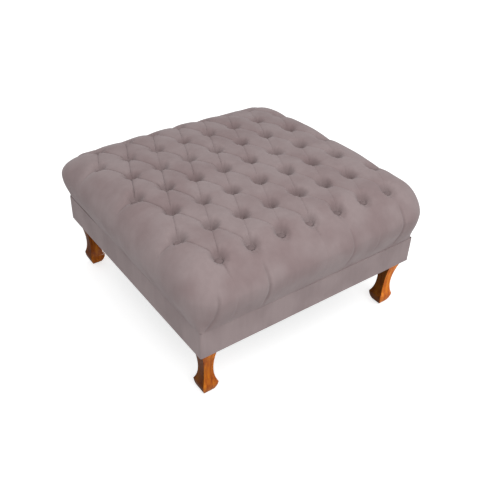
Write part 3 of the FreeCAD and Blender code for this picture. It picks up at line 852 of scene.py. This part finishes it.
def camera():
    """The photograph's view, found from the frame's corners, the buttons, the legs and the outline."""
    unit = 2 * BAND_HALF_X
    yaw, pitch, roll = math.radians(-36.68), math.radians(35.38), math.radians(1.95)
    distance, shift_right, shift_up = 2.7475 * unit, 0.0243 * unit, -0.0085 * unit
    ahead = Vector((-math.sin(yaw) * math.cos(pitch), math.cos(yaw) * math.cos(pitch), -math.sin(pitch)))
    right = Vector((math.cos(yaw), math.sin(yaw), 0))
    up = right.cross(ahead)
    place = Vector((0, 0, RAIL_BOTTOM)) - ahead * distance + right * shift_right + up * shift_up
    rolled_right = right * math.cos(roll) + up * math.sin(roll)
    rolled_up = up * math.cos(roll) - right * math.sin(roll)
    turn = Matrix((rolled_right, rolled_up, -ahead)).transposed().to_4x4()
    data = bpy.data.cameras.new("camera")
    data.sensor_width = 36
    data.lens = 48.9
    eye = bpy.data.objects.new("camera", data)
    eye.matrix_world = Matrix.Translation(place) @ turn
    bpy.context.scene.collection.objects.link(eye)
    bpy.context.scene.camera = eye


def pale_floor():
    """A matt white studio floor. To the camera it is lifted to white, and only shadows show."""
    material, tree, shader = new_material("pale_floor")
    set_values(shader, {"Base Color": (0.72, 0.72, 0.72, 1), "Roughness": 0.9,
                        "Emission Color": (1, 1, 1, 1)})
    path = add_node(tree, "ShaderNodeLightPath")
    lift = add_node(tree, "ShaderNodeMath", {"operation": "MULTIPLY"},
                    {0: path.outputs["Is Camera Ray"], 1: FLOOR_LIFT})
    tree.links.new(lift.outputs["Value"], shader.inputs["Emission Strength"])
    return material


def studio_world():
    """An even white surround, full white where the camera sees it."""
    world = bpy.data.worlds.new("studio")
    bpy.context.scene.world = world
    world.use_nodes = True
    tree = world.node_tree
    path = add_node(tree, "ShaderNodeLightPath")
    lit = add_node(tree, "ShaderNodeMapRange", inputs={
        "Value": path.outputs["Is Glossy Ray"], "To Min": SURROUND, "To Max": REFLECTED})
    seen = add_node(tree, "ShaderNodeMapRange", inputs={
        "Value": path.outputs["Is Camera Ray"], "To Min": lit.outputs["Result"], "To Max": 1.0})
    background = tree.nodes["Background"]
    background.inputs["Color"].default_value = (1, 1, 1, 1)
    tree.links.new(seen.outputs["Result"], background.inputs["Strength"])


def area_light(name, place, aim, size, power):
    """A square light at a place, turned to what it is aimed at."""
    lamp = bpy.data.lights.new(name, "AREA")
    lamp.energy = power
    lamp.size = size
    light = bpy.data.objects.new(name, lamp)
    light.location = place
    light.rotation_euler = (Vector(aim) - Vector(place)).to_track_quat("-Z", "Y").to_euler()
    bpy.context.scene.collection.objects.link(light)
    return light


def floor_and_light(legs):
    """A pale floor, an even surround, one large soft light above the front, and three smaller
    ones that are flagged off everything but the polished legs."""
    bpy.ops.mesh.primitive_plane_add(size=12, location=(0, 0, 0))
    floor = bpy.context.object
    floor.name = "floor"
    floor.data.materials.append(pale_floor())
    studio_world()
    area_light("key", place=(-0.3, -1.85, 2.7), aim=(0, 0, 0.3), size=2.4, power=KEY_POWER)
    lit = bpy.data.collections.new("polished_legs")
    for piece in legs:
        lit.objects.link(piece)
    for name, place, size, power in LEG_LIGHTS:
        light = area_light(name, place, LEG_MIDDLE, size, power)
        light.light_linking.receiver_collection = lit


def finish_piece(piece, material, nodes):
    """Dress one piece, hang it on the frame, and hide the nodes it stands for."""
    piece.data.materials.clear()
    piece.data.materials.append(material)
    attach(piece, "root")
    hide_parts(*nodes)


def dress_solids():
    """Materials for the solids that stay as they are."""
    beech = plain_wood("frame_wood", "D9BE93", "B8935F", (8, 1, 1))
    crosswise = plain_wood("frame_wood_crosswise", "D9BE93", "B8935F", (1, 8, 1))
    board = plain_wood("plywood", "D8BC8B", "B0905C", (6, 2, 1))
    looks = {"frame_wood": beech, "plywood": board, "foam": foam(), "dust_cloth": dust_cloth(),
             "zinc_steel": zinc_steel(), "glide_plastic": black_plastic()}
    for part in frame["record"]["subparts"]:
        node = frame["nodes"][part["node"]]
        look = looks.get(part["material_slot"])
        if look:
            if part["node"] in ("rail_left", "rail_right"):
                look = crosswise
            node.data.materials.clear()
            node.data.materials.append(look)


def main():
    """Build the soft and polished pieces, dress the rest, and light it."""
    bpy.context.scene.view_settings.view_transform = "Standard"
    # Painted light: the band's velvet is a lighter copy of the cover's, for how brightly the band is lit
    fabric = velvet("velvet", "9F8F8F", "968686")
    tufted = velvet("tufted_velvet", "9B8B8B", "917F7F", shade_hollows=True)
    # Painted shade: the buttons' velvet is a darker copy of the cover's, for the shade in the dimples
    # round them
    covered = velvet("button_velvet", "867575", "807070")
    points, turn = plain_cover()
    cover = tufted_cover(points, turn)
    finish_piece(cover, tufted, ["tufted_cover"])
    for side in ("front", "back", "left", "right"):
        band = band_piece(side)
        finish_piece(band, fabric, ["band_" + side])
    for row in range(len(ROW_BOXES)):
        finish_piece(button_row(row, points), covered, ["button_row_%d" % (row + 1)])
    waxed = twine()
    finish_piece(twine_ties(points), waxed, ["button_twines"])
    wood = lacquered_wood()
    legs = []
    for corner in ("front_left", "front_right", "back_left", "back_right"):
        legs.append(leg(corner))
        finish_piece(legs[-1], wood, ["leg_" + corner])
    dress_solids()
    camera()
    floor_and_light(legs)


main()
